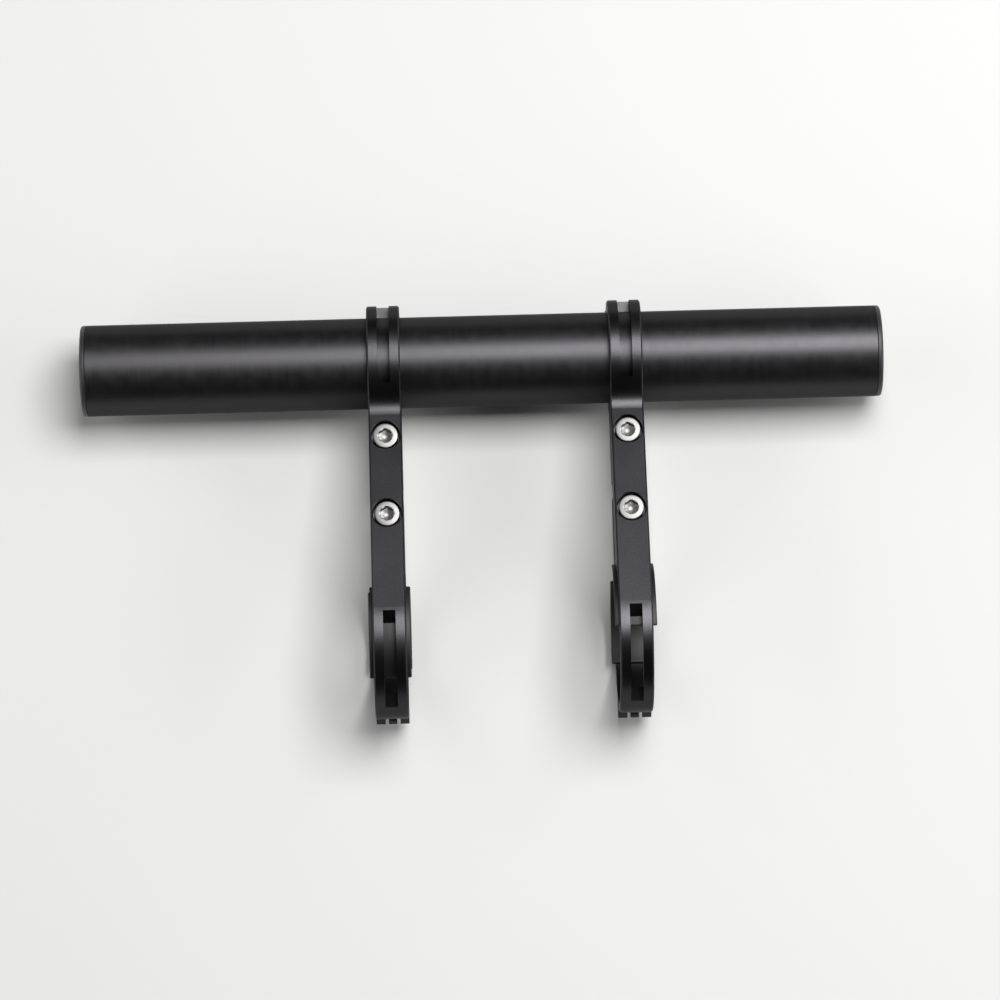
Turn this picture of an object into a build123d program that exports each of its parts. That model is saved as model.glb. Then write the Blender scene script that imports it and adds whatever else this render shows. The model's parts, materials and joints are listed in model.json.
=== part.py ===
from build123d import *
import os
from math import asin, cos, degrees, radians, sin

# A handlebar extender: a short accessory tube held ahead of a handlebar by two hinged brackets.
# X runs along the tube, Y ahead of the handlebar, Z up. The origin is the middle of the left bar
# clamp. Lengths are in millimetres, angles in degrees.

# Accessory tube and its plugs
tube_diameter = 22.2
tube_wall = 1.6
tube_length = 195.0
cap_rim = 1.2
cap_edge = 0.5
cap_skirt_length = 9.0
cap_skirt_wall = 1.4
cap_clearance = 0.05

# Places of the two brackets
bracket_spacing = 58.7
left_overhang = 73.7

# Bracket body
bar_diameter = 31.8
centre_distance = 69.0
face_slope = 12.0
bracket_width = 8.0
arm_bottom = 1.5
bar_ring_wall = 2.2
tube_ring_wall = 2.85
tube_clearance = 0.05
neck_fillet = 5.0
edge_chamfer = 0.35

# Rubber pads between the bar clamp and the bar
pad_thickness = 1.0
pad_overhang = 1.0
pad_sweep = 76.0
left_upper_pad_start = 59.0
right_upper_pad_start = 20.0
lower_pad_start = 256.0

# Windows milled through the front of each ring
window_width = 3.0
bar_window_start = 80.3
bar_window_end = 159.8
bar_window_depth = 5.5
tube_window_near = 7.9
tube_window_floor = 0.5

# Clamp jaws and their lugs
bar_gap = 3.0
tube_gap = 0.8
lug_depth = 6.0
bar_lug_end = 34.4
tube_lug_end = 31.3
lug_corner = 1.5
lug_fillet = 2.5
ring_split = 0.6

# Hinges at the far side of each ring
bar_hinge_drop = 40.0
tube_hinge_drop = 38.0
hinge_offset = 1.5
barrel_radius = 2.3
root_angle = 12.0
root_radius = 1.0
barrel_clearance = 0.3
knuckle_width = 2.2
knuckle_gap = 0.8
pin_radius = 1.0
pin_clearance = 0.05

# Clamp screws
bar_screw_reach = 28.3
tube_screw_reach = 20.3
bar_screw_length = 16.0
tube_screw_length = 10.0
screw_radius = 1.95
thread_clearance = 0.1
shank_clearance = 0.3
head_radius = 3.03
head_height = 4.0
head_recess = 0.7
head_clearance = 0.5
head_edge = 0.35
socket_across_flats = 3.0
socket_depth = 2.2
mouth_chamfer = 0.3

# Sizes that follow from those above
tube_radius = tube_diameter / 2
tube_bore = tube_radius - tube_wall
bar_radius = bar_diameter / 2
bar_seat = bar_radius + pad_thickness
bar_ring = bar_seat + bar_ring_wall
tube_seat = tube_radius + tube_clearance
tube_ring = tube_seat + tube_ring_wall
level_angle = asin((bar_ring - tube_ring) / centre_distance)
tube_y = centre_distance * cos(level_angle)
tube_z = -centre_distance * sin(level_angle)
reach = 4 * (bar_ring + tube_ring)

# The plane of a bracket: x from the bar's centre to the tube's, y square to that line
bracket_plane = Plane(origin=(0, 0, 0), x_dir=(0, tube_y, tube_z), z_dir=(1, 0, 0))


class Clamp:
    # One end of a bracket in its own frame: x towards the other end, y square to the centre line
    def __init__(self, start, facing, seat, ring, gap, hinge_drop, lug_end, screw_reach, screw_length):
        self.seat = seat
        self.ring = ring
        self.lug_top = arm_bottom - gap
        self.lug_bottom = self.lug_top - lug_depth
        self.lug_end = lug_end
        self.hinge_angle = 180 + hinge_drop
        self.hinge = polar(ring + hinge_offset, self.hinge_angle)
        self.screw_reach = screw_reach
        self.screw_length = screw_length
        self.face = face_height(start + facing * screw_reach)
        self.face_turn = -facing * face_slope
        self.screw_seat = self.face - head_recess - head_height
        self.place = Location((start, 0, 0), (0, 90 - 90 * facing, 0))


def polar(radius, angle):
    return radius * cos(radians(angle)), radius * sin(radians(angle))


def sloped(along, out):
    # A point given along the arm's sloped face and out from the bar's centre
    turn = radians(face_slope)
    return along * cos(turn) + out * sin(turn), out * cos(turn) - along * sin(turn)


def face_height(x):
    turn = radians(face_slope)
    return (bar_ring - x * sin(turn)) / cos(turn)


def block(x0, y0, x1, y1):
    return Pos((x0 + x1) / 2, (y0 + y1) / 2) * Rectangle(abs(x1 - x0), abs(y1 - y0))


def slab(outline, width):
    return extrude(Pos(Z=-width / 2) * outline, width, dir=(0, 0, 1))


def corner(outline, x, y):
    return outline.vertices().sort_by_distance(Vector(x, y, 0))[0]


def across(radius, width, x, y):
    # A round bar across the bracket's width
    return Pos(x, y) * Cylinder(radius, width)


def upright(x, y, turn=0):
    # Turns what is modelled along Z to stand square to the centre line, or turned from that
    return Pos(x, y) * Rot(Z=turn) * Rot(X=-90)


bar_clamp = Clamp(0, 1, bar_seat, bar_ring, bar_gap, bar_hinge_drop,
                  bar_lug_end, bar_screw_reach, bar_screw_length)
tube_clamp = Clamp(centre_distance, -1, tube_seat, tube_ring, tube_gap, tube_hinge_drop,
                   tube_lug_end, tube_screw_reach, tube_screw_length)


def far_side(clamp):
    # The part of the ring that belongs to the body, from the top over the far side to the hinge
    split = degrees(ring_split / 2 / clamp.ring)
    x, y = polar(2 * reach, clamp.hinge_angle - split)
    return Polygon((0, 0), (0, reach), (-reach, reach), (-reach, 0), (x, y), align=None)


def jaw_side(clamp):
    # The part of the ring and lug that belongs to the jaw, from the hinge round to the gap
    split = degrees(ring_split / 2 / clamp.ring)
    x, y = polar(2 * reach, clamp.hinge_angle + split)
    return Polygon((0, 0), (x, y), (0, -2 * reach), (reach, -reach), (reach, clamp.lug_top),
                   (0, clamp.lug_top), align=None)


def bracket_outline():
    # Both rings joined by the arm, whose face runs tangent to the bar ring and into the tube ring
    rings = Circle(bar_ring) + Pos(centre_distance, 0) * Circle(tube_ring)
    arm = Polygon((0, arm_bottom), (centre_distance, arm_bottom),
                  (centre_distance, face_height(centre_distance)), sloped(0, bar_ring), align=None)
    tube_along = centre_distance * cos(radians(face_slope))
    rise = bar_ring - centre_distance * sin(radians(face_slope))
    neck = sloped(tube_along - (tube_ring ** 2 - rise ** 2) ** 0.5, bar_ring)
    return fillet(corner(rings + arm, *neck), neck_fillet)


def knuckle_room(clamp, width):
    return across(barrel_radius + barrel_clearance, width, *clamp.hinge)


def knuckle(clamp, width, side):
    # A barrel round the pin, blended into the ring on one side of the hinge
    root = Pos(*polar(clamp.ring - root_radius, clamp.hinge_angle + side * root_angle)) * Circle(root_radius)
    barrel = Pos(*clamp.hinge) * Circle(barrel_radius)
    return slab(make_hull(root.edges() + barrel.edges()), width)


def bar_window():
    # A cutter whose floor is a shallow V, so both ends of the window run out on the ring's surface
    middle = (bar_window_start + bar_window_end) / 2
    outline = Polygon(polar(bar_ring, bar_window_start), polar(2 * bar_ring, bar_window_start),
                      polar(3 * bar_ring, middle), polar(2 * bar_ring, bar_window_end),
                      polar(bar_ring, bar_window_end), polar(bar_ring - bar_window_depth, middle), align=None)
    return slab(outline, window_width)


def tube_window():
    # A cutter square to the centre line, from the near wall past the far side of the ring
    return slab(block(tube_window_near, tube_window_floor, -2 * tube_ring, 2 * tube_ring), window_width)


def screw_holes(clamp):
    # Clearance hole and counterbore, its mouth broken where it meets the sloped face
    pocket_radius = head_radius + head_clearance
    clear = Cylinder(screw_radius + shank_clearance, reach, align=(Align.CENTER, Align.CENTER, Align.MAX))
    pocket = Cylinder(pocket_radius, 2 * head_height, align=(Align.CENTER, Align.CENTER, Align.MIN))
    mouth = Cone(pocket_radius - mouth_chamfer, pocket_radius + 3 * mouth_chamfer, 4 * mouth_chamfer)
    holes = upright(clamp.screw_reach, clamp.screw_seat) * (clear + pocket)
    return holes + upright(clamp.screw_reach, clamp.face, clamp.face_turn) * mouth


def bracket_body():
    keep = slab(block(0, arm_bottom, centre_distance, 2 * reach), bracket_width)
    for clamp in (bar_clamp, tube_clamp):
        keep = keep + clamp.place * slab(far_side(clamp), bracket_width)
    body = break_edges(slab(bracket_outline(), bracket_width)) & keep
    knuckle_offset = (bracket_width - knuckle_width) / 2
    for clamp, window in ((bar_clamp, bar_window()), (tube_clamp, tube_window())):
        outer = knuckle(clamp, knuckle_width, -1)
        knuckles = Pos(Z=knuckle_offset) * outer + Pos(Z=-knuckle_offset) * outer
        body = body - clamp.place * across(clamp.seat, 2 * bracket_width, 0, 0)
        body = body - clamp.place * knuckle_room(clamp, bracket_width - 2 * knuckle_width)
        body = body + clamp.place * knuckles
        body = body - clamp.place * across(pin_radius, bracket_width, *clamp.hinge)
        body = body - clamp.place * window
        body = body - clamp.place * screw_holes(clamp)
    return body


def break_edges(plate):
    # Breaks the long edges on both side faces
    edges = []
    for side in (plate.faces().sort_by(Axis.Z)[0], plate.faces().sort_by(Axis.Z)[-1]):
        edges += side.outer_wire().edges()
    return chamfer(edges, edge_chamfer)


def jaw(clamp):
    # Lower part of the ring with a threaded lug under the arm and one knuckle at the hinge
    outline = Circle(clamp.ring) + block(0, clamp.lug_bottom, clamp.lug_end, clamp.lug_top)
    foot = (clamp.ring ** 2 - clamp.lug_bottom ** 2) ** 0.5
    outline = fillet(corner(outline, foot, clamp.lug_bottom), lug_fillet)
    outline = fillet(corner(outline, clamp.lug_end, clamp.lug_bottom), lug_corner)
    plate = break_edges(slab(outline, bracket_width)) & slab(jaw_side(clamp), bracket_width)
    plate = plate - across(clamp.seat, 2 * bracket_width, 0, 0)
    middle = bracket_width - 2 * knuckle_width - 2 * knuckle_gap
    room = knuckle_room(clamp, 2 * bracket_width) - knuckle_room(clamp, middle)
    thread = upright(clamp.screw_reach, 0) * Cylinder(screw_radius + thread_clearance, reach)
    plate = plate - room - thread + knuckle(clamp, middle, 1)
    return plate - across(pin_radius + pin_clearance, bracket_width, *clamp.hinge)


def hinge_pin(clamp):
    return across(pin_radius, bracket_width, *clamp.hinge)


def clamp_screw(clamp):
    # Socket head cap screw, its head's seat at the frame's origin before it is put in place
    head = Cylinder(head_radius, head_height, align=(Align.CENTER, Align.CENTER, Align.MIN))
    head = chamfer(head.edges().filter_by(GeomType.CIRCLE).sort_by(Axis.Z)[-1], head_edge)
    socket = Pos(Z=head_height - socket_depth) * extrude(
        RegularPolygon(socket_across_flats / 2, 6, major_radius=False), 2 * socket_depth)
    shank = Cylinder(screw_radius, clamp.screw_length, align=(Align.CENTER, Align.CENTER, Align.MAX))
    return upright(clamp.screw_reach, clamp.screw_seat) * (head - socket + shank)


def pad(start):
    # A rubber strip bent to the bar clamp's seat, a little wider than the ring
    width = bracket_width + 2 * pad_overhang
    section = Plane.XZ * Pos((bar_radius + bar_seat) / 2, 0) * Rectangle(pad_thickness, width)
    return Rot(Z=start) * revolve(section, Axis.Z, pad_sweep)


def extender_tube():
    length = tube_length - 2 * cap_rim
    tube = Cylinder(tube_radius, length) - Cylinder(tube_bore, length)
    return Pos(tube_length / 2 - left_overhang, tube_y, tube_z) * Rot(Y=90) * tube


def end_cap(end, facing):
    # A plug with a rim that covers the tube's end and a skirt inside it
    skirt_radius = tube_bore - cap_clearance
    rim = Cylinder(tube_radius, cap_rim, align=(Align.CENTER, Align.CENTER, Align.MAX))
    rim = chamfer(rim.edges().filter_by(GeomType.CIRCLE).sort_by(Axis.Z)[-1], cap_edge)
    skirt = Pos(Z=-cap_rim) * Cylinder(
        skirt_radius, cap_skirt_length, align=(Align.CENTER, Align.CENTER, Align.MAX))
    hollow = Pos(Z=-cap_rim) * Cylinder(
        skirt_radius - cap_skirt_wall, cap_skirt_length, align=(Align.CENTER, Align.CENTER, Align.MAX))
    return Pos(end, tube_y, tube_z) * Rot(Y=90 * facing) * (rim + skirt - hollow)


def bracket_parts(side, offset, upper_pad_start):
    local = {
        "bracket_body": bracket_body(),
        "tube_jaw": tube_clamp.place * jaw(tube_clamp),
        "bar_jaw": bar_clamp.place * jaw(bar_clamp),
        "tube_hinge_pin": tube_clamp.place * hinge_pin(tube_clamp),
        "bar_hinge_pin": bar_clamp.place * hinge_pin(bar_clamp),
        "tube_screw": tube_clamp.place * clamp_screw(tube_clamp),
        "bar_screw": bar_clamp.place * clamp_screw(bar_clamp),
        "bar_upper_pad": bar_clamp.place * pad(upper_pad_start),
        "bar_lower_pad": bar_clamp.place * pad(lower_pad_start),
    }
    place = Pos(X=offset) * bracket_plane.location
    return {side + "_" + name: place * solid for name, solid in local.items()}


parts = {
    "extender_tube": extender_tube(),
    "left_end_cap": end_cap(-left_overhang, -1),
    "right_end_cap": end_cap(tube_length - left_overhang, 1),
}
parts.update(bracket_parts("left", 0, left_upper_pad_start))
parts.update(bracket_parts("right", bracket_spacing, right_upper_pad_start))

os.makedirs("parts", exist_ok=True)
for name, solid in parts.items():
    export_step(solid, "parts/" + name + ".step")
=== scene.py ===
import json
from math import atan2, cos, degrees, pi, radians, sin
import bmesh
import bpy
from mathutils import Matrix, Vector


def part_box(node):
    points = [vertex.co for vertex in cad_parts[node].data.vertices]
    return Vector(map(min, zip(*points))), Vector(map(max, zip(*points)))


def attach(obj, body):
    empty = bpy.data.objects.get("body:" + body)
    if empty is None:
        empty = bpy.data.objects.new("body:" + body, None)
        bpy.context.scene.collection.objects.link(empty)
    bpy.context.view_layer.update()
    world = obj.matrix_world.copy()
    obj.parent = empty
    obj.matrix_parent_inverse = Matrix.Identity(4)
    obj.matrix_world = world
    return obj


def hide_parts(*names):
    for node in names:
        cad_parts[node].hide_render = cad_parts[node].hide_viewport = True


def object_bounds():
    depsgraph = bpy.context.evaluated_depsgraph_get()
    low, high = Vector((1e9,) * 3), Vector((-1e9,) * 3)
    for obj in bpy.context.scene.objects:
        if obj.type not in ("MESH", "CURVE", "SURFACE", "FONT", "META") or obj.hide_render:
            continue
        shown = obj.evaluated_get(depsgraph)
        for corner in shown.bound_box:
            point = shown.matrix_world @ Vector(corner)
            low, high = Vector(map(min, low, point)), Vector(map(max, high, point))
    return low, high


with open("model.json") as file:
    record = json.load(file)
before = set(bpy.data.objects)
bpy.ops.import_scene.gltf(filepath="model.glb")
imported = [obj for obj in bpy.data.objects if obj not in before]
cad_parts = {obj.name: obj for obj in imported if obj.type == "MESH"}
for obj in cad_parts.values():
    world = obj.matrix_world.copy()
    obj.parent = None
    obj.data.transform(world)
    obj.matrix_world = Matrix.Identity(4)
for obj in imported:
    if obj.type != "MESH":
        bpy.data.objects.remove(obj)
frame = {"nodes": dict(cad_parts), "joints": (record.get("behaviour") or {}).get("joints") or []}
cadLow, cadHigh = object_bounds()
mm = 0.001
sides = ("left", "right")
rightward, upward = Vector((1, 0, 0)), Vector((0, 0, 1))
joints = {joint["name"]: joint for joint in frame["joints"]}
print("frame loaded:", len(frame["nodes"]), "nodes")


# helpers for nodes and meshes

def linear(hexColour):
    # an sRGB hex colour as the linear colour that the shaders take
    channels = [int(hexColour[i:i + 2], 16) / 255 for i in (1, 3, 5)]
    return tuple(c / 12.92 if c <= 0.04045 else ((c + 0.055) / 1.055) ** 2.4 for c in channels) + (1.0,)


def addNode(tree, kind, inputs=None, **settings):
    # one node with its settings; an input that is given as a socket is linked
    node = tree.nodes.new(kind)
    for name, value in settings.items():
        setattr(node, name, value)
    for name, value in (inputs or {}).items():
        if isinstance(value, bpy.types.NodeSocket):
            tree.links.new(value, node.inputs[name])
        else:
            node.inputs[name].default_value = value
    return node


def newMaterial(name):
    material = bpy.data.materials.new(name)
    material.use_nodes = True
    material.node_tree.nodes.clear()
    return material, material.node_tree


def circleRing(radius, height, count):
    return [Vector((radius * cos(2 * pi * i / count), radius * sin(2 * pi * i / count), height))
            for i in range(count)]


def hexRing(apothem, height, count):
    # the same count of points on a hexagon, with a point on each corner
    ring = []
    for i in range(count):
        angle = 2 * pi * i / count
        off = (angle + pi / 6) % (pi / 3) - pi / 6
        radius = apothem / cos(off)
        ring.append(Vector((radius * cos(angle), radius * sin(angle), height)))
    return ring


def arcPoints(centre, radius, startDegrees, endDegrees, steps):
    # points of a rounded corner in a profile, as (radius, height)
    points = []
    for i in range(steps + 1):
        angle = radians(startDegrees + (endDegrees - startDegrees) * i / steps)
        points.append((centre[0] + radius * cos(angle), centre[1] + radius * sin(angle)))
    return points


def skinRings(rings, startPole=None, endPole=None, closed=False):
    # quads between neighbouring rings, with a fan to a pole at either end
    mesh = bmesh.new()
    loops = [[mesh.verts.new(point) for point in ring] for ring in rings]
    pairs = list(zip(loops, loops[1:])) + ([(loops[-1], loops[0])] if closed else [])
    for lower, upper in pairs:
        for i in range(len(lower)):
            k = (i + 1) % len(lower)
            mesh.faces.new((lower[i], lower[k], upper[k], upper[i]))
    for pole, loop in ((startPole, loops[0]), (endPole, loops[-1])):
        if pole is not None:
            tip = mesh.verts.new(pole)
            for i in range(len(loop)):
                mesh.faces.new((loop[i], loop[(i + 1) % len(loop)], tip))
    bmesh.ops.recalc_face_normals(mesh, faces=mesh.faces)
    return mesh


def turned(profile, count, startPole=None, endPole=None, closed=False):
    return skinRings([circleRing(r, h, count) for r, h in profile], startPole, endPole, closed)


def finishPiece(name, mesh, place, body, nodes, material, sharpDegrees=32):
    # keeps the mesh's own millimetres in a UV map (radius, height), places it and hands it to the frame
    uv = mesh.loops.layers.uv.new("turning")
    for face in mesh.faces:
        face.smooth = True
        for loop in face.loops:
            local = loop.vert.co
            loop[uv].uv = ((local.x ** 2 + local.y ** 2) ** 0.5, local.z)
    for edge in mesh.edges:
        if len(edge.link_faces) == 2 and edge.calc_face_angle(0) > radians(sharpDegrees):
            edge.smooth = False
    mesh.transform(place)
    data = bpy.data.meshes.new(name)
    mesh.to_mesh(data)
    mesh.free()
    data.materials.append(material)
    piece = bpy.data.objects.new(name, data)
    bpy.context.scene.collection.objects.link(piece)
    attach(piece, body)
    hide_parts(*nodes)


def placeAlong(origin, axis, across):
    # millimetres to metres, with local Z along axis and local X as near to across as it goes
    z = Vector(axis).normalized()
    y = z.cross(across).normalized()
    x = y.cross(z)
    turn = Matrix((x, y, z)).transposed().to_4x4()
    return Matrix.Translation(Vector(origin)) @ turn @ Matrix.Scale(mm, 4)


# materials: sizes in a look are millimetres, a pair is the lowest and highest value, and gloss is how much
# of a metal's shine its edges keep under the dye. A Mix node's colours are its inputs 6 and 7

noiseSpan = {"From Min": 0.3, "From Max": 0.7}  # most of a noise texture's values lie in here


def brushedAnodisedTube():
    # black anodised aluminium, brushed while turning: fine rings round the tube break up a soft long
    # highlight. The rings are wider apart than real brush marks, which are too fine to show
    look = {"dye": "#3f3e40", "tint": (0.93, 1.07), "gloss": (0.5, 0.5, 0.5, 1.0),
            "roughness": (0.385, 0.455), "ringPitch": 0.4, "ringRun": 9.0, "ringDepth": 0.003, "patch": 3.0}
    material, tree = newMaterial("brushedBlackAnodisedAluminium")
    place = addNode(tree, "ShaderNodeTexCoord")
    across, along = 1 / (look["ringPitch"] * mm), 1 / (look["ringRun"] * mm)
    stretch = addNode(tree, "ShaderNodeMapping", {
        "Vector": place.outputs["Object"], "Scale": (across, along, along)})
    rings = addNode(tree, "ShaderNodeTexNoise", {
        "Vector": stretch.outputs["Vector"], "Scale": 1.0, "Detail": 3.0})
    patches = addNode(tree, "ShaderNodeTexNoise", {
        "Vector": place.outputs["Object"], "Scale": 1 / (look["patch"] * mm), "Detail": 3.0})
    blend = addNode(tree, "ShaderNodeMath", {0: rings.outputs["Fac"], 1: patches.outputs["Fac"]},
                    operation="ADD")
    blended = {"Value": blend.outputs[0], "From Min": 0.7, "From Max": 1.3}  # two noises added
    roughness = addNode(tree, "ShaderNodeMapRange", {
        **blended, "To Min": look["roughness"][0], "To Max": look["roughness"][1]})
    tint = addNode(tree, "ShaderNodeMapRange", {
        **blended, "To Min": look["tint"][0], "To Max": look["tint"][1]})
    colour = addNode(tree, "ShaderNodeVectorMath", {
        0: linear(look["dye"])[:3], "Scale": tint.outputs["Result"]}, operation="SCALE")
    bump = addNode(tree, "ShaderNodeBump", {
        "Height": rings.outputs["Fac"], "Strength": 0.2, "Distance": look["ringDepth"] * mm})
    shader = addNode(tree, "ShaderNodeBsdfPrincipled", {
        "Base Color": colour.outputs["Vector"], "Metallic": 1.0, "Specular Tint": look["gloss"],
        "Roughness": roughness.outputs["Result"], "Normal": bump.outputs["Normal"]})
    addNode(tree, "ShaderNodeOutputMaterial", {"Surface": shader.outputs["BSDF"]})
    return material


def blastedAnodisedBracket():
    # black anodised aluminium, bead blasted before dyeing: an even grain with no direction and a wide soft
    # sheen. Real bead marks are about 0.1 mm and would not show, so the grain is three times as coarse
    look = {"dye": "#3b3a3c", "tint": (0.84, 1.16), "gloss": (0.5, 0.5, 0.5, 1.0), "roughness": (0.32, 0.38),
            "grain": 0.34, "grainDepth": 0.018, "cloud": 11.1}
    material, tree = newMaterial("blastedBlackAnodisedAluminium")
    place = addNode(tree, "ShaderNodeTexCoord")
    grain = addNode(tree, "ShaderNodeTexNoise", {
        "Vector": place.outputs["Object"], "Scale": 1 / (look["grain"] * mm), "Detail": 3.0,
        "Roughness": 0.6})
    clouds = addNode(tree, "ShaderNodeTexNoise", {
        "Vector": place.outputs["Object"], "Scale": 1 / (look["cloud"] * mm), "Detail": 2.0})
    roughness = addNode(tree, "ShaderNodeMapRange", {
        "Value": clouds.outputs["Fac"], **noiseSpan,
        "To Min": look["roughness"][0], "To Max": look["roughness"][1]})
    tint = addNode(tree, "ShaderNodeMapRange", {
        "Value": grain.outputs["Fac"], **noiseSpan, "To Min": look["tint"][0], "To Max": look["tint"][1]})
    colour = addNode(tree, "ShaderNodeVectorMath", {
        0: linear(look["dye"])[:3], "Scale": tint.outputs["Result"]}, operation="SCALE")
    bump = addNode(tree, "ShaderNodeBump", {
        "Height": grain.outputs["Fac"], "Strength": 0.4, "Distance": look["grainDepth"] * mm})
    shader = addNode(tree, "ShaderNodeBsdfPrincipled", {
        "Base Color": colour.outputs["Vector"], "Metallic": 1.0, "Specular Tint": look["gloss"],
        "Roughness": roughness.outputs["Result"], "Normal": bump.outputs["Normal"]})
    addNode(tree, "ShaderNodeOutputMaterial", {"Surface": shader.outputs["BSDF"]})
    return material


def mouldedNylonCap():
    # injection moulded black nylon: a spark-eroded texture with a low plastic sheen. Its pits are drawn
    # about three times as wide as real ones, which are too fine to show
    look = {"pigment": "#1b1b1c", "roughness": (0.45, 0.55), "texture": 0.3, "textureDepth": 0.012,
            "flow": 7.14}
    material, tree = newMaterial("mouldedBlackNylon")
    place = addNode(tree, "ShaderNodeTexCoord")
    texture = addNode(tree, "ShaderNodeTexVoronoi", {
        "Vector": place.outputs["Object"], "Scale": 1 / (look["texture"] * mm)}, feature="SMOOTH_F1")
    flow = addNode(tree, "ShaderNodeTexNoise", {
        "Vector": place.outputs["Object"], "Scale": 1 / (look["flow"] * mm), "Detail": 2.0})
    roughness = addNode(tree, "ShaderNodeMapRange", {
        "Value": flow.outputs["Fac"], **noiseSpan,
        "To Min": look["roughness"][0], "To Max": look["roughness"][1]})
    bump = addNode(tree, "ShaderNodeBump", {
        "Height": texture.outputs["Distance"], "Strength": 0.4, "Distance": look["textureDepth"] * mm})
    shader = addNode(tree, "ShaderNodeBsdfPrincipled", {
        "Base Color": linear(look["pigment"]), "IOR": 1.53, "Roughness": roughness.outputs["Result"],
        "Normal": bump.outputs["Normal"]})
    addNode(tree, "ShaderNodeOutputMaterial", {"Surface": shader.outputs["BSDF"]})
    return material


def calenderedRubberPad():
    # black rubber sheet, rolled to thickness: a dull, slightly pebbled surface with patches of greyer bloom
    look = {"carbon": "#0a0a0a", "bloom": "#151413", "bloomSpan": (0.4, 0.75), "bloomShare": 0.6,
            "bloomPatch": 4.55, "roughness": 0.52, "pebble": 0.4, "pebbleDepth": 0.03}
    material, tree = newMaterial("matteBlackRubber")
    place = addNode(tree, "ShaderNodeTexCoord")
    pebbles = addNode(tree, "ShaderNodeTexNoise", {
        "Vector": place.outputs["Object"], "Scale": 1 / (look["pebble"] * mm), "Detail": 3.0,
        "Roughness": 0.6})
    bloom = addNode(tree, "ShaderNodeTexNoise", {
        "Vector": place.outputs["Object"], "Scale": 1 / (look["bloomPatch"] * mm), "Detail": 4.0})
    share = addNode(tree, "ShaderNodeMapRange", {
        "Value": bloom.outputs["Fac"], "From Min": look["bloomSpan"][0], "From Max": look["bloomSpan"][1],
        "To Min": 0.0, "To Max": look["bloomShare"]})
    colour = addNode(tree, "ShaderNodeMix", {
        "Factor": share.outputs["Result"], 6: linear(look["carbon"]), 7: linear(look["bloom"])},
        data_type="RGBA")
    bump = addNode(tree, "ShaderNodeBump", {
        "Height": pebbles.outputs["Fac"], "Strength": 0.6, "Distance": look["pebbleDepth"] * mm})
    shader = addNode(tree, "ShaderNodeBsdfPrincipled", {
        "Base Color": colour.outputs[2], "IOR": 1.46, "Roughness": look["roughness"],
        "Normal": bump.outputs["Normal"]})
    addNode(tree, "ShaderNodeOutputMaterial", {"Surface": shader.outputs["BSDF"]})
    return material


def turnedStainlessScrew():
    # stainless steel, head turned on a lathe: bright, with faint rings round the middle, which follow the
    # piece's own radius and height in its UV map
    look = {"steel": "#81807f", "shade": "#6a6968", "roughness": (0.37, 0.49), "ringPitch": 0.16,
            "ringDepth": 0.003, "smudge": 2.38}
    material, tree = newMaterial("turnedStainlessSteel")
    own = addNode(tree, "ShaderNodeUVMap", uv_map="turning")
    split = addNode(tree, "ShaderNodeSeparateXYZ", {"Vector": own.outputs["UV"]})
    place = addNode(tree, "ShaderNodeTexCoord")
    smudge = addNode(tree, "ShaderNodeTexNoise", {
        "Vector": place.outputs["Object"], "Scale": 1 / (look["smudge"] * mm), "Detail": 3.0})
    radius = addNode(tree, "ShaderNodeMath", {0: split.outputs["X"], 1: 1 / look["ringPitch"]},
                     operation="MULTIPLY")
    height = addNode(tree, "ShaderNodeMath", {0: split.outputs["Y"], 1: 1 / look["ringPitch"]},
                     operation="MULTIPLY")
    ring = addNode(tree, "ShaderNodeCombineXYZ", {"X": radius.outputs[0], "Y": height.outputs[0]})
    rings = addNode(tree, "ShaderNodeTexNoise", {
        "Vector": ring.outputs["Vector"], "Scale": 1.0, "Detail": 2.0})
    colour = addNode(tree, "ShaderNodeMix", {
        "Factor": smudge.outputs["Fac"], 6: linear(look["shade"]), 7: linear(look["steel"])},
        data_type="RGBA")
    roughness = addNode(tree, "ShaderNodeMapRange", {
        "Value": rings.outputs["Fac"], **noiseSpan,
        "To Min": look["roughness"][0], "To Max": look["roughness"][1]})
    bump = addNode(tree, "ShaderNodeBump", {
        "Height": rings.outputs["Fac"], "Strength": 0.5, "Distance": look["ringDepth"] * mm})
    shader = addNode(tree, "ShaderNodeBsdfPrincipled", {
        "Base Color": colour.outputs[2], "Metallic": 1.0, "Roughness": roughness.outputs["Result"],
        "Normal": bump.outputs["Normal"]})
    addNode(tree, "ShaderNodeOutputMaterial", {"Surface": shader.outputs["BSDF"]})
    return material


def groundSteelPin():
    # carbon steel, centreless ground: grey and fairly bright, with fine scratches that vary its gloss
    look = {"steel": "#8f8f92", "tint": (0.85, 1.05), "roughness": (0.27, 0.41), "scratch": 0.12}
    material, tree = newMaterial("groundSteel")
    place = addNode(tree, "ShaderNodeTexCoord")
    scratches = addNode(tree, "ShaderNodeTexNoise", {
        "Vector": place.outputs["Object"], "Scale": 1 / (look["scratch"] * mm), "Detail": 2.0})
    roughness = addNode(tree, "ShaderNodeMapRange", {
        "Value": scratches.outputs["Fac"], **noiseSpan,
        "To Min": look["roughness"][0], "To Max": look["roughness"][1]})
    tint = addNode(tree, "ShaderNodeMapRange", {
        "Value": scratches.outputs["Fac"], **noiseSpan,
        "To Min": look["tint"][0], "To Max": look["tint"][1]})
    colour = addNode(tree, "ShaderNodeVectorMath", {
        0: linear(look["steel"])[:3], "Scale": tint.outputs["Result"]}, operation="SCALE")
    shader = addNode(tree, "ShaderNodeBsdfPrincipled", {
        "Base Color": colour.outputs["Vector"], "Metallic": 1.0, "Roughness": roughness.outputs["Result"]})
    addNode(tree, "ShaderNodeOutputMaterial", {"Surface": shader.outputs["BSDF"]})
    return material


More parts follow.
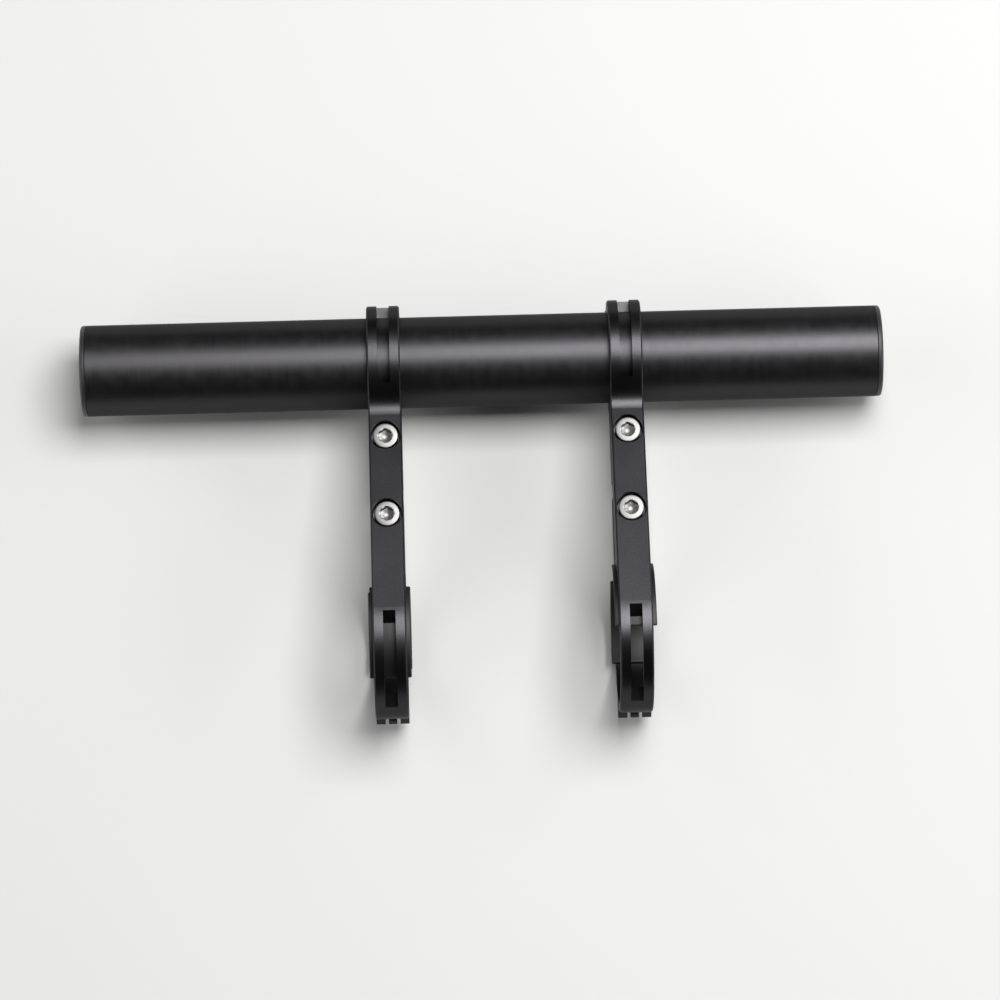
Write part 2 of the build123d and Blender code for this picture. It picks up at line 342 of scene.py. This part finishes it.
def paleStudioPaper():
    # uncoated background paper: near white, without gloss
    look = {"paper": "#c4c4c3", "roughness": 0.9, "fibre": 1.11, "fibreDepth": 0.05}
    material, tree = newMaterial("paleStudioPaper")
    place = addNode(tree, "ShaderNodeTexCoord")
    fibre = addNode(tree, "ShaderNodeTexNoise", {
        "Vector": place.outputs["Object"], "Scale": 1 / (look["fibre"] * mm), "Detail": 3.0})
    bump = addNode(tree, "ShaderNodeBump", {
        "Height": fibre.outputs["Fac"], "Strength": 0.05, "Distance": look["fibreDepth"] * mm})
    shader = addNode(tree, "ShaderNodeBsdfPrincipled", {
        "Base Color": linear(look["paper"]), "Roughness": look["roughness"],
        "Normal": bump.outputs["Normal"]})
    addNode(tree, "ShaderNodeOutputMaterial", {"Surface": shader.outputs["BSDF"]})
    return material


tubeAlloy = brushedAnodisedTube()
bracketAlloy = blastedAnodisedBracket()
capNylon = mouldedNylonCap()
padRubber = calenderedRubberPad()
screwSteel = turnedStainlessScrew()
pinSteel = groundSteelPin()
print("materials made")


# brackets: the milled bodies and jaws keep their own solids

def dressBracket(side):
    for name in ("bracket_body", "tube_jaw", "bar_jaw"):
        node = frame["nodes"][side + "_" + name]
        node.data.materials.clear()
        node.data.materials.append(bracketAlloy)


for side in sides:
    dressBracket(side)
print("brackets dressed")


# accessory tube and its two caps; the sizes of all pieces are millimetres

tubeSizes = {"wall": 1.6, "endBreak": 0.15, "segments": 160}
capSizes = {"rim": 1.2, "rimRound": 0.7, "roundSteps": 8, "rimBreak": 0.1,
            "skirt": 9.0, "skirtWall": 1.4, "skirtGap": 0.05, "skirtBreak": 0.3, "leadIn": (0.6, 1.2),
            "gateRadius": 1.3, "gateDepth": 0.2, "gateLip": (0.15, 0.1), "gateSlope": 0.25}


def makeTube():
    low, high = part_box("extender_tube")
    middle = (low + high) / 2
    outer, length = (high.y - low.y) / 2 / mm, (high.x - low.x) / mm
    inner, edge = outer - tubeSizes["wall"], tubeSizes["endBreak"]
    profile = [(outer, edge), (outer, length - edge), (outer - edge, length),
               (inner, length), (inner, 0), (outer - edge, 0)]
    mesh = turned(profile, tubeSizes["segments"], closed=True)
    place = placeAlong((low.x, middle.y, middle.z), rightward, upward)
    finishPiece("brushed_tube", mesh, place, "tube", ["extender_tube"], tubeAlloy)
    return outer, inner, middle


def makeCap(side, outer, inner, middle):
    # a plug with a rounded rim and the mark of its gate; local Z runs out of the tube from 0 at its end
    sizes = capSizes
    node = side + "_end_cap"
    low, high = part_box(node)
    outward = 1 if side == "right" else -1
    end = (high.x if side == "right" else low.x) - outward * sizes["rim"] * mm
    skirt = inner - sizes["skirtGap"]
    hollow, foot, edge = skirt - sizes["skirtWall"], -sizes["skirt"], sizes["skirtBreak"]
    leadIn, leadInLength = sizes["leadIn"]
    rim, rimRound, rimBreak = sizes["rim"], sizes["rimRound"], sizes["rimBreak"]
    gate, gateFloor = sizes["gateRadius"], sizes["rim"] - sizes["gateDepth"]
    lip, lipDrop = sizes["gateLip"]
    profile = ([(hollow, 0), (hollow, foot + edge), (hollow + edge, foot), (skirt - leadIn, foot),
                (skirt, foot + leadInLength), (skirt, 0), (outer - rimBreak, 0), (outer, rimBreak)]
               + arcPoints((outer - rimRound, rim - rimRound), rimRound, 0, 90, sizes["roundSteps"])
               + [(gate + lip, rim), (gate, rim - lipDrop), (gate - sizes["gateSlope"], gateFloor)])
    mesh = turned(profile, tubeSizes["segments"], startPole=(0, 0, 0), endPole=(0, 0, gateFloor))
    place = placeAlong((end, middle.y, middle.z), rightward * outward, upward)
    finishPiece(side + "_rounded_cap", mesh, place, "tube", [node], capNylon)


tubeOuter, tubeInner, tubeMiddle = makeTube()
for side in sides:
    makeCap(side, tubeOuter, tubeInner, tubeMiddle)
print("tube and caps made")


# clamp screws: turned heads with hexagon sockets, knurled sides and real threads. The socket's bottom is
# (share of the socket's radius, drop) for two rings, and a depth for its middle

screwSizes = {"headHeight": 4.0, "headRound": 0.16, "roundEnd": 80, "roundSteps": 6, "crown": 0.17,
              "crownSteps": 6, "footBreak": 0.2, "seatGap": 0.02,
              "knurlCount": 54, "knurlDepth": 0.07, "knurlRidge": 0.15, "knurlLow": 0.45, "knurlHigh": 3.3,
              "knurlClear": 0.05, "knurlSlope": 0.07,
              "hexFlats": 3.0, "hexDepth": 1.6, "mouthBreak": 0.1, "mouthDrop": 0.2,
              "bottomRings": ((0.95, 0.02), (0.5, 0.27)), "bottomDepth": 0.45,
              "crest": 1.95, "root": 1.52, "pitch": 0.7, "tipBreak": 0.5, "threadStart": 0.3,
              "threadEnd": 0.1, "underHead": 1.4, "runOut": 0.4, "neck": 0.15, "segments": 96,
              "sharpDegrees": 28}


def startTree(name, sizes):
    # a Geometry Nodes tree with a named input for each size, and its input node
    tree = bpy.data.node_groups.new(name, "GeometryNodeTree")
    tree.interface.new_socket("Geometry", in_out="INPUT", socket_type="NodeSocketGeometry")
    for label, kind in sizes.items():
        tree.interface.new_socket(label, in_out="INPUT", socket_type="NodeSocket" + kind)
    tree.interface.new_socket("Geometry", in_out="OUTPUT", socket_type="NodeSocketGeometry")
    return tree, addNode(tree, "NodeGroupInput")


def endTree(tree, shape, material):
    real = addNode(tree, "GeometryNodeRealizeInstances", {"Geometry": shape})
    painted = addNode(tree, "GeometryNodeSetMaterial", {
        "Geometry": real.outputs["Geometry"], "Material": material})
    addNode(tree, "NodeGroupOutput", {"Geometry": painted.outputs["Geometry"]})


def threadTree():
    # a three-sided ridge swept along a helix of 40 points a turn, and tapered at both ends
    tree, given = startTree("threadRidge", {
        "Pitch": "Float", "Length": "Float", "Helix Radius": "Float", "Ridge Radius": "Float"})
    turns = addNode(tree, "ShaderNodeMath", {0: given.outputs["Length"], 1: given.outputs["Pitch"]},
                    operation="DIVIDE")
    helix = addNode(tree, "GeometryNodeCurveSpiral", {
        "Resolution": 40, "Rotations": turns.outputs[0], "Start Radius": given.outputs["Helix Radius"],
        "End Radius": given.outputs["Helix Radius"], "Height": given.outputs["Length"], "Reverse": True})
    upright = addNode(tree, "GeometryNodeSetCurveNormal", {"Curve": helix.outputs["Curve"]}, mode="Z_UP")
    along = addNode(tree, "GeometryNodeSplineParameter")
    fromEnd = addNode(tree, "ShaderNodeMath", {0: 1.0, 1: along.outputs["Factor"]}, operation="SUBTRACT")
    nearest = addNode(tree, "ShaderNodeMath", {0: along.outputs["Factor"], 1: fromEnd.outputs[0]},
                      operation="MINIMUM")
    # the ridge grows from 15% to full size over 4% of its length
    taper = addNode(tree, "ShaderNodeMapRange", {
        "Value": nearest.outputs[0], "From Min": 0.0, "From Max": 0.04, "To Min": 0.15, "To Max": 1.0})
    tapered = addNode(tree, "GeometryNodeSetCurveRadius", {
        "Curve": upright.outputs["Curve"], "Radius": taper.outputs["Result"]})
    ridge = addNode(tree, "GeometryNodeCurvePrimitiveCircle", {
        "Resolution": 3, "Radius": given.outputs["Ridge Radius"]})
    swept = addNode(tree, "GeometryNodeCurveToMesh", {
        "Curve": tapered.outputs["Curve"], "Profile Curve": ridge.outputs["Curve"], "Fill Caps": True})
    endTree(tree, swept.outputs["Mesh"], screwSteel)
    return tree


def knurlTree():
    # upright four-sided ridges spaced evenly round the head's side
    tree, given = startTree("headKnurl", {
        "Count": "Int", "Circle Radius": "Float", "Ridge Radius": "Float", "Ridge Height": "Float"})
    circle = addNode(tree, "GeometryNodeMeshCircle", {
        "Vertices": given.outputs["Count"], "Radius": given.outputs["Circle Radius"]})
    ridge = addNode(tree, "GeometryNodeMeshCylinder", {
        "Vertices": 4, "Radius": given.outputs["Ridge Radius"], "Depth": given.outputs["Ridge Height"]})
    here = addNode(tree, "GeometryNodeInputPosition")
    facing = addNode(tree, "FunctionNodeAlignRotationToVector", {"Vector": here.outputs["Position"]},
                     axis="X")
    placed = addNode(tree, "GeometryNodeInstanceOnPoints", {
        "Points": circle.outputs["Mesh"], "Instance": ridge.outputs["Mesh"],
        "Rotation": facing.outputs["Rotation"]})
    endTree(tree, placed.outputs["Instances"], screwSteel)
    return tree


def grown(tree, values):
    # runs a node tree with its inputs set by identifier and returns its result as a plain mesh
    holder = bpy.data.objects.new(tree.name + "Holder", bpy.data.meshes.new(tree.name + "Start"))
    bpy.context.scene.collection.objects.link(holder)
    modifier = holder.modifiers.new(tree.name, "NODES")
    modifier.node_group = tree
    for item in tree.interface.items_tree:
        if item.in_out == "INPUT" and item.name in values:
            modifier[item.identifier] = values[item.name]
    graph = bpy.context.evaluated_depsgraph_get()
    plain = bpy.data.meshes.new_from_object(holder.evaluated_get(graph))
    holder.modifiers.remove(modifier)
    bpy.data.objects.remove(holder)
    return plain


def measureScrew(side, end):
    # the solid's seat and axis, and its head radius and shank length in millimetres
    joint = joints[side + "_" + end + "_screw_turn"]
    axis, foot = Vector(joint["axis"]).normalized(), Vector(joint["pos_m"])
    points = [vertex.co - foot for vertex in frame["nodes"][side + "_" + end + "_screw"].data.vertices]
    heights = [point.dot(axis) for point in points]
    radius = max((point - axis * height).length for point, height in zip(points, heights)) / mm
    seat = max(heights) - screwSizes["headHeight"] * mm
    return foot + axis * seat, axis, radius, (seat - min(heights)) / mm


def screwProfile(headRadius, length, mouth):
    # (radius, height) from the tip up the shank, out under the head and over it to the socket's mouth
    sizes = screwSizes
    root, crest, seat, foot = sizes["root"], sizes["crest"], sizes["seatGap"], sizes["footBreak"]
    core, knurlEnd = headRadius - sizes["knurlDepth"], sizes["knurlHigh"] + sizes["knurlClear"]
    shank = [(root - sizes["tipBreak"], -length), (root, sizes["tipBreak"] - length),
             (root, -sizes["underHead"]), (crest, sizes["runOut"] - sizes["underHead"]),
             (crest, -sizes["neck"])]
    head = [(crest + sizes["neck"], seat), (core - foot, seat), (core, foot), (core, knurlEnd),
            (headRadius, knurlEnd + sizes["knurlSlope"])]
    top, crown, flat = sizes["headHeight"], sizes["crown"], headRadius - sizes["headRound"]
    edge = arcPoints((flat, top - crown - sizes["headRound"]), sizes["headRound"], 0, sizes["roundEnd"],
                     sizes["roundSteps"])
    radii = [flat + (mouth - flat) * i / sizes["crownSteps"] for i in range(1, sizes["crownSteps"] + 1)]
    return shank + head + edge + [(r, top - crown * (r / headRadius) ** 2) for r in radii]


def makeScrew(side, end, thread, knurl):
    # local Z runs out of the head, with 0 at the head's seat
    sizes = screwSizes
    node = side + "_" + end + "_screw"
    seat, axis, headRadius, length = measureScrew(side, end)
    socket, count = sizes["hexFlats"] / 2, sizes["segments"]
    mouth = socket / cos(pi / 6) + sizes["mouthBreak"]
    bottom = sizes["headHeight"] - sizes["hexDepth"]
    rings = [circleRing(r, h, count) for r, h in screwProfile(headRadius, length, mouth)]
    rings += [hexRing(socket, h, count) for h in (sizes["headHeight"] - sizes["mouthDrop"], bottom)]
    rings += [circleRing(socket * share, bottom - drop, count) for share, drop in sizes["bottomRings"]]
    mesh = skinRings(rings, startPole=(0, 0, -length), endPole=(0, 0, bottom - sizes["bottomDepth"]))
    threadLift = sizes["threadStart"] - length
    knurlLift = (sizes["knurlLow"] + sizes["knurlHigh"]) / 2
    for part, lift in ((thread, threadLift), (knurl, knurlLift)):
        lifted = part.copy()
        lifted.transform(Matrix.Translation((0, 0, lift)))
        mesh.from_mesh(lifted)
        bpy.data.meshes.remove(lifted)
    finishPiece(side + "_" + end + "_socket_screw", mesh, placeAlong(seat, axis, rightward), node,
                [node], screwSteel, sizes["sharpDegrees"])


threadMaker, knurlMaker = threadTree(), knurlTree()
ridgeRadius = screwSizes["pitch"] / (2 * sin(radians(60)))  # a side of the three-sided ridge is one pitch
for end in ("bar", "tube"):
    # the left and right screws of one kind are alike, so they share a knurl and a thread
    headRadius, length = measureScrew("left", end)[2:]
    knurlMesh = grown(knurlMaker, {
        "Count": screwSizes["knurlCount"], "Circle Radius": headRadius - screwSizes["knurlRidge"],
        "Ridge Radius": screwSizes["knurlRidge"],
        "Ridge Height": screwSizes["knurlHigh"] - screwSizes["knurlLow"]})
    unthreaded = screwSizes["underHead"] + screwSizes["threadStart"] + screwSizes["threadEnd"]
    threadMesh = grown(threadMaker, {
        "Pitch": screwSizes["pitch"], "Length": length - unthreaded,
        "Helix Radius": screwSizes["crest"] - ridgeRadius, "Ridge Radius": ridgeRadius})
    for side in sides:
        makeScrew(side, end, threadMesh, knurlMesh)
print("screws made")


# hinge pins; a domed end is (step inwards, distance from the tip) for each ring, in dome heights

pinSizes = {"radius": 1.0, "dome": 0.25, "domeRings": ((1.6, 0.0), (0.6, 0.25), (0.0, 1.0)), "segments": 48}


def makePin(side, end):
    name = side + "_" + end + "_hinge_pin"
    low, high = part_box(name)
    half, radius, dome = (high.x - low.x) / 2 / mm, pinSizes["radius"], pinSizes["dome"]
    upperEnd = [(radius - step * dome, half - drop * dome) for step, drop in pinSizes["domeRings"]]
    profile = [(r, -h) for r, h in upperEnd] + upperEnd[::-1]
    mesh = turned(profile, pinSizes["segments"], startPole=(0, 0, -half), endPole=(0, 0, half))
    finishPiece(side + "_" + end + "_ground_pin", mesh, placeAlong((low + high) / 2, rightward, upward),
                side + "_bracket", [name], pinSteel)


for side in sides:
    for end in ("tube", "bar"):
        makePin(side, end)
print("pins made")


# rubber pads that line the bar clamps. Their ends are rounded over endAngle degrees: a ring is (share of
# that angle, share of the full thickness), and it narrows by endNarrow of what its thickness loses

padSizes = {"corner": 0.3, "roundSteps": 4, "steps": 64, "endAngle": 0.8,
            "endRings": ((0.0, 0.72), (0.4, 0.92), (1.0, 1.0)), "endNarrow": 0.1}


def makePad(side, level):
    # local X runs ahead, local Y up, local Z across the bracket; the angles are the solid's own
    sizes = padSizes
    name = side + "_bar_" + level + "_pad"
    low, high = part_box(name)
    points = [vertex.co for vertex in frame["nodes"][name].data.vertices]
    radii = [(point.y ** 2 + point.z ** 2) ** 0.5 / mm for point in points]
    angles = [degrees(atan2(point.z, point.y)) for point in points]
    inner, outer, middle = min(radii), max(radii), (min(radii) + max(radii)) / 2
    start, sweep = min(angles), max(angles) - min(angles)
    half, corner = (high.x - low.x) / 2 / mm, sizes["corner"]
    corners = ((outer - corner, half - corner), (inner + corner, half - corner),
               (inner + corner, corner - half), (outer - corner, corner - half))
    section = [point for i, centre in enumerate(corners)
               for point in arcPoints(centre, corner, 90 * i, 90 * (i + 1), sizes["roundSteps"])]
    run, steps = sizes["endAngle"], sizes["steps"]
    stops = ([(start + part * run, share) for part, share in sizes["endRings"]]
             + [(start + run + (sweep - 2 * run) * i / steps, 1.0) for i in range(1, steps)]
             + [(start + sweep - part * run, share) for part, share in reversed(sizes["endRings"])])
    rings = []
    for angle, share in stops:
        turn = radians(angle)
        ring = []
        for r, w in section:
            radius = middle + (r - middle) * share
            across = w * (1 - (1 - share) * sizes["endNarrow"])
            ring.append(Vector((radius * cos(turn), radius * sin(turn), across)))
        rings.append(ring)
    startPole, endPole = (sum(ring, Vector()) / len(ring) for ring in (rings[0], rings[-1]))
    mesh = skinRings(rings, startPole=startPole, endPole=endPole)
    localAxes = Matrix(((0, 1, 0), (0, 0, 1), (1, 0, 0))).transposed().to_4x4()
    place = Matrix.Translation(((low.x + high.x) / 2, 0, 0)) @ localAxes @ Matrix.Scale(mm, 4)
    body = side + ("_bracket" if level == "upper" else "_bar_jaw")
    finishPiece(side + "_" + level + "_rubber", mesh, place, body, [name], padRubber)


for side in sides:
    for level in ("upper", "lower"):
        makePad(side, level)
print("pads made")


# floor, lights, room and camera, in metres, watts and degrees; the lens and sensor are millimetres

studio = {"floor": 1.9, "floorSquares": 8, "world": 0.028, "wall": 0.84,
          "target": (0.324, 0.030, 0.0), "keyPlace": (0.324, 0.308, 1.064), "keySize": (0.70, 0.63),
          "keyPower": 18.6, "sideReach": 0.9, "sideHeight": 0.40, "sideSize": (1.6, 0.6), "sidePower": 7.0,
          "camera": (0.01285, -0.16300, 1.19177), "cameraTurn": (9.374, -0.431, -1.607),
          "lens": 179.5, "sensor": 36.0, "clipStart": 0.01}


def makeFloor():
    mesh = bmesh.new()
    bmesh.ops.create_grid(mesh, x_segments=studio["floorSquares"], y_segments=studio["floorSquares"],
                          size=studio["floor"] / 2)
    mesh.transform(Matrix.Translation((0, 0, cadLow.z)))
    data = bpy.data.meshes.new("floor")
    mesh.to_mesh(data)
    mesh.free()
    data.materials.append(paleStudioPaper())
    floor = bpy.data.objects.new("floor", data)
    bpy.context.scene.collection.objects.link(floor)


def addSoftbox(name, position, target, size, power):
    light = bpy.data.lights.new(name, "AREA")
    light.shape, light.energy = "RECTANGLE", power
    light.size, light.size_y = size
    lamp = bpy.data.objects.new(name, light)
    lamp.location = position
    lamp.rotation_mode = "QUATERNION"
    lamp.rotation_quaternion = (Vector(target) - Vector(position)).to_track_quat("-Z", "Y")
    lamp.visible_camera = False
    bpy.context.scene.collection.objects.link(lamp)


def makeLights():
    # a large softbox ahead and above gives the long highlights of the black metal
    addSoftbox("overheadSoftbox", studio["keyPlace"], studio["target"], studio["keySize"], studio["keyPower"])
    middle = (cadLow + cadHigh) / 2
    for name, way in (("leftPanel", -1), ("rightPanel", 1)):
        # low panels off the tube's ends light the brackets' flanks and the caps
        place = middle + Vector((way * studio["sideReach"], 0, studio["sideHeight"]))
        addSoftbox(name, place, middle, studio["sideSize"], studio["sidePower"])


def makeRoom():
    # the room is dim, so it hardly shows in the black metal, but pale behind the floor's edge
    world = bpy.data.worlds.new("studioRoom")
    world.use_nodes = True
    tree = world.node_tree
    tree.nodes.clear()
    room = addNode(tree, "ShaderNodeBackground", {"Color": (studio["world"],) * 3 + (1.0,)})
    wall = addNode(tree, "ShaderNodeBackground", {"Color": (studio["wall"],) * 3 + (1.0,)})
    ray = addNode(tree, "ShaderNodeLightPath")
    seen = addNode(tree, "ShaderNodeMixShader", {
        0: ray.outputs["Is Camera Ray"], 1: room.outputs["Background"], 2: wall.outputs["Background"]})
    addNode(tree, "ShaderNodeOutputWorld", {"Surface": seen.outputs["Shader"]})
    bpy.context.scene.world = world


def makeCamera():
    data = bpy.data.cameras.new("photoCamera")
    data.lens, data.sensor_width, data.clip_start = studio["lens"], studio["sensor"], studio["clipStart"]
    camera = bpy.data.objects.new("photoCamera", data)
    camera.location = studio["camera"]
    camera.rotation_euler = [radians(a) for a in studio["cameraTurn"]]
    bpy.context.scene.collection.objects.link(camera)
    bpy.context.scene.camera = camera


makeFloor()
makeLights()
makeRoom()
makeCamera()
bpy.context.scene.view_settings.view_transform = "Standard"
print("studio made")
